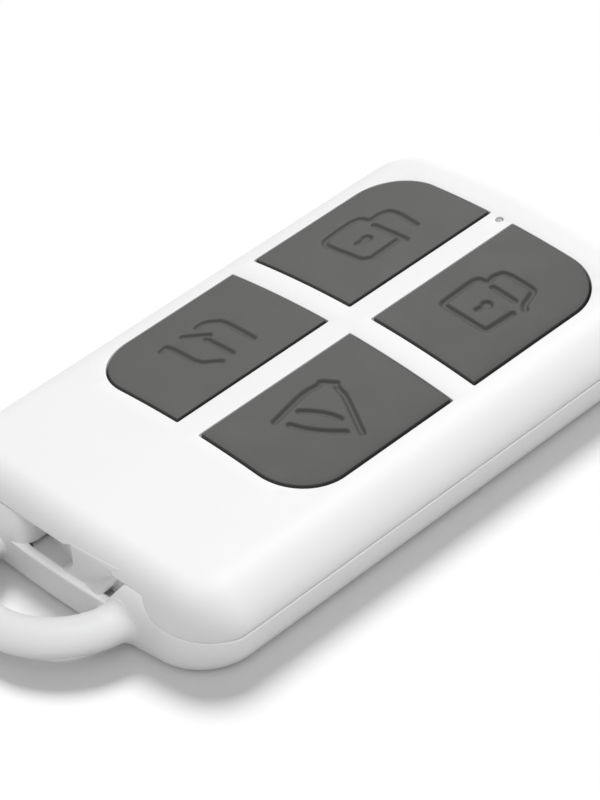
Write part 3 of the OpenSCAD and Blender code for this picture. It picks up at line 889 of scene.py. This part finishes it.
# %% Rear shell
rear = Shape()
foot = [with_height(outline(foot_r * (1 - math.sin(t))), foot_r * (1 - math.cos(t)))
        for t in np.radians(np.linspace(0, 90, 7))]
sides = []
for share in (0.35, 0.7, 0.9):
    height = foot_r + (outer_z - front_soft - foot_r) * share
    sides.append(with_height(outline(shoulder(edge_x, height)), height))
below = with_height(outline(shoulder(edge_x, outer_z - front_soft)), outer_z - front_soft)
edge = with_height(outline(lean), outer_z)
inward = with_height(outline(lean + front_soft), outer_z)
back_start = with_height(outline(inner_edge - back_soft), rear_edge)
back_edge = with_height(outline(inner_edge), rear_edge)
back_down = with_height(outline(inner_edge), rear_edge - back_soft * raised)
rings = [*foot, *sides, below, *soft_edge(below, edge, inward), inward,
         with_height(outline(lean + front_soft + 0.01 + step_in), outer_z),
         with_height(outline(lean + front_soft + 0.02 + step_in), rear_edge),
         back_start, *soft_edge(back_start, back_edge, back_down), back_down,
         with_height(outline(lip_out - fit_gap * raised), lip_top),
         with_height(outline(lip_in), lip_top),
         with_height(outline(lip_in), floor_t)]
rear.solid(rings)
print("tray faces:", len(rear.faces))

# %% Cheek at the left end of the opening
cheek_d, cheek_round, cheek_in, cheek_left = 3.0, 1.7, 0.75, -8.45
corner_turn = np.linspace(0, math.pi / 2, 13)[1:]
rings = []
for share in np.linspace(0, 1, 10):
    x = np.concatenate([[cheek_left], np.linspace(cheek_left, -opening_left - cheek_round, 6),
                        cheek_round * (np.sin(corner_turn) - 1) - opening_left, [-opening_left]])
    y = np.concatenate([[cheek_d], np.zeros(6), cheek_round * (1 - np.cos(corner_turn)), [cheek_d]])
    height = cheek_foot + share * (crown(x) - brow_drop - 0.02 - cheek_foot)
    y = np.minimum(y + cheek_in * share ** 1.6, cheek_d) + end_y(x)
    rings.append(np.column_stack([x, y, height]))
rear.solid(rings)
print("cheek depth in mm:", cheek_d)

# %% [markdown]
# ### Key loop
# The loop is half a ring of round section that grows out of the end wall. A moulded loop never meets a
# wall at a sharp corner, so each line along the ring is followed to the wall and flares out over the last
# millimetre. The flare is widest on top, where the leg runs into the raised wall, and it is held back
# beside the opening, where there is no wall to run into.

# %% Lines along the loop
loop_r, loop_t, loop_z, loop_y = 7.6, 3.25, 2.3, near_y + 1.35
around = np.linspace(0, 2 * math.pi, 40, endpoint=False)
arm = loop_r + loop_t / 2 * np.cos(around)


def turn_at(distance):
    """Angle from the loop's middle at which each line is a distance in front of the end wall."""
    x = arm
    for _ in range(3):
        cosine = np.clip((distance + loop_y - end_y(x)) / arm, -1, 1)
        x = arm * np.sqrt(1 - cosine ** 2)
    return np.arccos(cosine)


def loop_ring(turn, flare):
    """Points round the loop at an angle for each line, with its radius enlarged by the flare."""
    radius = loop_t / 2 + flare
    out = loop_r + radius * np.cos(around)
    height = np.maximum(loop_z + radius * np.sin(around), 0.03)
    x, plain_x = out * np.sin(turn), arm * np.sin(turn)
    along_wall = loop_y - arm * np.cos(turn) + end_y(x) - end_y(plain_x) + shoulder(x, height)
    y = np.where(flare > 0, along_wall, loop_y - out * np.cos(turn))
    return np.column_stack([x, y, height])


print("lines along the loop:", len(around))

# %% Key loop
flare_r = 1.0
flare_share = (0.7 + 0.2 * np.clip(np.sin(around), 0, 1) - 0.35 * np.clip(-np.sin(around), 0, 1)
               - 0.75 * np.exp(-((np.degrees(around) - 135) / 32) ** 2))
ends = []
for distance in (1.0, 0.78, 0.58, 0.42, 0.29, 0.19, 0.11, 0.05, 0.015, 0.0, -0.25, -0.7):
    near = max(distance, 0.0)
    flare = flare_share * (flare_r - math.sqrt(flare_r ** 2 - (flare_r - near) ** 2))
    ends.append((turn_at(distance), flare * (0.7 if distance < -0.3 else 1.0)))
plain = np.zeros(len(around))
middle = [(share * turn_at(1.0), plain) for share in np.linspace(1, -1, 49)[1:-1]]
stations = ends[::-1] + middle + [(-turn, flare) for turn, flare in ends]
rear.solid([loop_ring(turn, flare) for turn, flare in stations])
print("loop stations:", len(stations))

# %% [markdown]
# ### Posts and cell cradle
# Four posts with pins carry the board, and a ring broken at the clip keeps the coin cell in place. They
# are turned shapes with softened upper edges, set into the floor.

# %% Posts and cell cradle
post_x, post_ends, post_d, pin_d = 11.2, (-18.5875, 27.8625), 2.4, 1.2
board_z, board_top, root_z, soft = 4.0, 4.8, 0.8, 0.15
cell_y, cradle_in, cradle_out, cradle_top, clip_half = -10.4875, 10.6, 11.4, 2.4, 2.7


def turned_rings(x, y, profile):
    """Rings of a turned body from its radius at each height."""
    return [with_height(disc(x, y, radius), height) for radius, height in profile]


post = [(post_d / 2, root_z), (post_d / 2, board_z), (pin_d / 2, board_z),
        (pin_d / 2, board_top - soft), (pin_d / 2 - 0.12, board_top)]
for x in (-post_x, post_x):
    for y in post_ends:
        rear.solid(turned_rings(x, y, post))

section = [(cradle_in, root_z), (cradle_out, root_z), (cradle_out, cradle_top - soft),
           (cradle_out - soft, cradle_top), (cradle_in + soft, cradle_top), (cradle_in, cradle_top - soft)]
gap = math.asin(clip_half / ((cradle_in + cradle_out) / 2))
for side in (0, math.pi):
    turns = np.linspace(math.pi - gap, gap, 41) + side
    rear.solid([[(r * math.cos(t), cell_y + r * math.sin(t), z) for r, z in section] for t in turns])
rear_skin = make_piece(rear, "rear_shell_skin", "shell_plastic", "case", ["rear_shell"])

# %% [markdown]
# ## Keys
# Each key is a slab that follows the crown, with a rounded edge, a flange that catches under the shell and
# a stem that rests on its switch. The pictograms are shallow grooves with soft sides. They are modelled,
# not painted, because the light in the grooves is what makes them readable: each point of the face is
# lowered by its distance to the nearest line. Points stand close together only around the lines.

# %% Lines of the pictograms
STROKE_SCALE = 1.068  # mm for each unit of the lines below
strokes = {
    "arm": [[(8.51, 9.09), (8.41, 6.37), (8.07, 6.19), (3.96, 6.14), (3.83, 6.42), (3.71, 9.77),
             (3.88, 10.24), (4.46, 10.37)],
            [(4.65, 10.55), (4.53, 11.23), (4.76, 12.06), (5.6, 12.23), (7.58, 12.25), (7.96, 12.07),
             (8.31, 10.86), (8.51, 10.4), (8.88, 10.11)],
            [(5.34, 10.28), (7.64, 10.26)],
            [(6.4, 8.34), (6.28, 7.53)]],
    "disarm": [[(-8.35, 10.43), (-9.09, 10.25), (-9.33, 9.58), (-9.32, 8.15), (-9.19, 6.43), (-8.8, 6.0),
                (-7.94, 5.94), (-4.41, 6.23), (-4.52, 9.91)],
               [(-7.47, 10.21), (-4.02, 10.33)],
               [(-8.23, 10.51), (-8.28, 11.64), (-7.98, 12.36), (-7.15, 12.51), (-4.8, 12.26)],
               [(-6.68, 8.34), (-6.75, 7.57)]],
    "home_arm": [[(-8.86, -7.84), (-8.89, -7.27), (-8.7, -6.83), (-7.84, -6.07), (-4.23, -6.17)],
                 [(-8.84, -9.37), (-8.31, -8.85), (-7.32, -7.94)],
                 [(-7.07, -8.47), (-4.19, -8.47)],
                 [(-8.78, -11.63), (-8.88, -10.93), (-5.33, -10.99), (-4.04, -9.71)]],
    "alarm": [[(4.19, -12.06), (3.73, -9.76), (3.5, -8.42), (3.54, -7.56), (3.63, -6.89), (3.48, -6.56),
               (4.45, -5.84)],
              [(4.76, -6.1), (5.09, -6.24), (5.64, -6.32), (6.75, -6.84), (8.0, -7.5), (9.63, -8.35)],
              [(4.68, -9.99), (5.26, -9.46), (6.02, -8.93), (6.78, -8.57), (7.43, -8.43)],
              [(5.23, -11.51), (6.23, -11.12), (7.08, -10.58), (7.86, -9.95), (8.7, -9.1)]],
}
dots = {"arm": (6.41, 8.45), "disarm": (-6.65, 8.53)}
print("strokes:", {name: len(paths) for name, paths in strokes.items()})

# %% Grooves of the pictograms
line_w, line_floor, line_depth, line_shift = 0.78, 0.06, 0.2, np.array((0.12, -0.12))
corner_cut, dot_r = 0.16, 0.25


def eased(path):
    """A path with its corners cut a little, so that it bends softly; its ends stay."""
    cut = [path[0]]
    for one, two in zip(np.array(path), np.array(path[1:])):
        cut += [(1 - corner_cut) * one + corner_cut * two, corner_cut * one + (1 - corner_cut) * two]
    return cut[:1] + cut[2:-1] + [path[-1]] if len(path) > 2 else path


def distance_to(points, start, end):
    """Distance of each point to a line between two places."""
    start, end = np.array(start), np.array(end)
    run = end - start
    share = np.clip((points - start) @ run / (run @ run), 0, 1)
    return np.linalg.norm(points - start - share[:, None] * run, axis=1)


def groove(name, points):
    """Depth of the engraved lines at each point of a key, and the distance to the nearest line."""
    here = (points - line_shift - (0, cross_y)) / STROKE_SCALE
    nearest = np.full(len(points), 99.0)
    for path in map(eased, strokes[name]):
        for start, end in zip(path, path[1:]):
            nearest = np.minimum(nearest, distance_to(here, start, end) * STROKE_SCALE)
    if name in dots:
        nearest = np.minimum(nearest, np.hypot(*(here - dots[name]).T) * STROKE_SCALE - dot_r)
    side = np.clip((nearest - line_floor) / (line_w / 2 - line_floor), 0, 1)
    return line_depth * (1 - side * side * (3 - 2 * side)), nearest


print("groove width and depth in mm:", line_w, line_depth)

# %% Sizes of a key
key_gap, key_rise, key_edge, key_play = 0.19, 0.02, 0.09, np.array((-0.06, 0.06))
flange_out, flange_top, flange_foot = 0.5, 1.15, 1.55
stem_r, plunger_top = 1.3, 5.65
stem = [(stem_r - 0.1, plunger_top), (stem_r, plunger_top + 0.1), (stem_r, plunger_top + 0.6)]


def key_loop(place, grow):
    """Loop of a key, which sits a little off the middle of its window, as loose keys do."""
    return window_loop(*place, grow) + key_play


print("points round a key:", len(key_loop((1, 1), -key_gap)))

# %% Keys
key_caps = []
for name, place in corners_of_keys.items():
    key = Shape()
    face_loop = key_loop(place, -key_gap - key_edge)
    low, high = face_loop.min(axis=0), face_loop.max(axis=0)
    middle = face_loop.mean(axis=0)
    fine, coarse = grid_points(low, high, (0.115, 0.115)), grid_points(low, high, (0.8, 0.8))
    fine = fine[groove(name, fine)[1] < line_w / 2 + 0.14]
    coarse = coarse[groove(name, coarse)[1] > line_w / 2 + 0.5]
    points = np.concatenate([fine, coarse])
    points = points[inside(points, middle + (face_loop - middle) * 0.97)]
    faces = fill([face_loop], points)

    rings = [with_height(face_loop, crown(face_loop[:, 0]) + key_rise)]
    for turn in np.radians((22.5, 45, 67.5, 90)):
        flat = key_loop(place, -key_gap - key_edge * (1 - math.sin(turn)))
        rings.append(with_height(flat, crown(flat[:, 0]) + key_rise - key_edge * (1 - math.cos(turn))))
    for grow, inset in ((-key_gap, flange_top), (flange_out, flange_top), (flange_out, flange_foot)):
        flat = key_loop(place, grow)
        rings.append(with_height(flat, crown(flat[:, 0], inset)))
    made = key.stack(rings[::-1])
    height = crown(points[:, 0]) + key_rise - groove(name, points)[0]
    top_points = made[-1] + key.ring(with_height(points, height))
    for face in faces:
        key.lid([top_points[i] for i in face])
    for face in fill([rings[-1][:, :2]], []):
        key.lid([made[0][i] for i in face], True)

    stem_x, stem_y = place[0] * (street + window_w) / 2, cross_y + place[1] * (street + window_l) / 2
    key.solid(turned_rings(stem_x, stem_y, stem))
    cap = make_piece(key, "key_" + name + "_cap", "key_plastic", name + "_key", ["key_" + name], 50)
    key_caps.append(cap)

# %% [markdown]
# ## Light pipe
# A clear pin fills the pinhole and carries the light of the board to the front. It is a turned shape with
# a slightly domed tip that ends just below the surface, so the edge of the hole casts a thin ring of shade.

# %% Light pipe
pipe = Shape()
pipe_r, pipe_foot, pipe_tip, dome = 0.31, 5.4, body_h - 0.03, 0.16
profile = [(pipe_r - 0.05, pipe_foot), (pipe_r, pipe_foot + 0.05), (pipe_r, pipe_tip - dome)]
for turn in np.radians((20, 40, 60, 78)):
    profile.append((pipe_r * math.cos(turn), pipe_tip - dome + dome * math.sin(turn)))
pipe.solid(turned_rings(0, light_y, profile))
make_piece(pipe, "light_pipe_pin", "clear_plastic", "case", ["light_pipe"])

# %% [markdown]
# ## What each lamp reaches
# Now that the pieces exist, the lamps get their screens. The keys and the table are kept out of the light
# from above, and each of them is lit by its own lamp and the surroundings alone.

# %% What each lamp reaches


def screen(lamp, objects, state):
    """Let a lamp reach only these objects, or all but these."""
    reached = bpy.data.collections.new(lamp.name + "_reach")
    for item in objects:
        reached.objects.link(item)
    for entry in reached.collection_objects:
        entry.light_linking.link_state = state
    lamp.light_linking.receiver_collection = reached
    print(lamp.name, state.lower(), [item.name for item in objects])


screen(lamp_above, [table, *key_caps], "EXCLUDE")
screen(lamp_for_front, [table, rear_skin, *key_caps], "EXCLUDE")
screen(lamp_for_rear, [rear_skin], "INCLUDE")
screen(lamp_for_keys, key_caps, "INCLUDE")
screen(lamp_for_table, [table], "INCLUDE")

# Both boxes are written down, as the growth on each side, so they can be compared.

low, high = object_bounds()
print("grown in mm:", [round((a - b) / MM, 3) for a, b in zip(cad_low, low)],
      [round((a - b) / MM, 3) for a, b in zip(high, cad_high)])
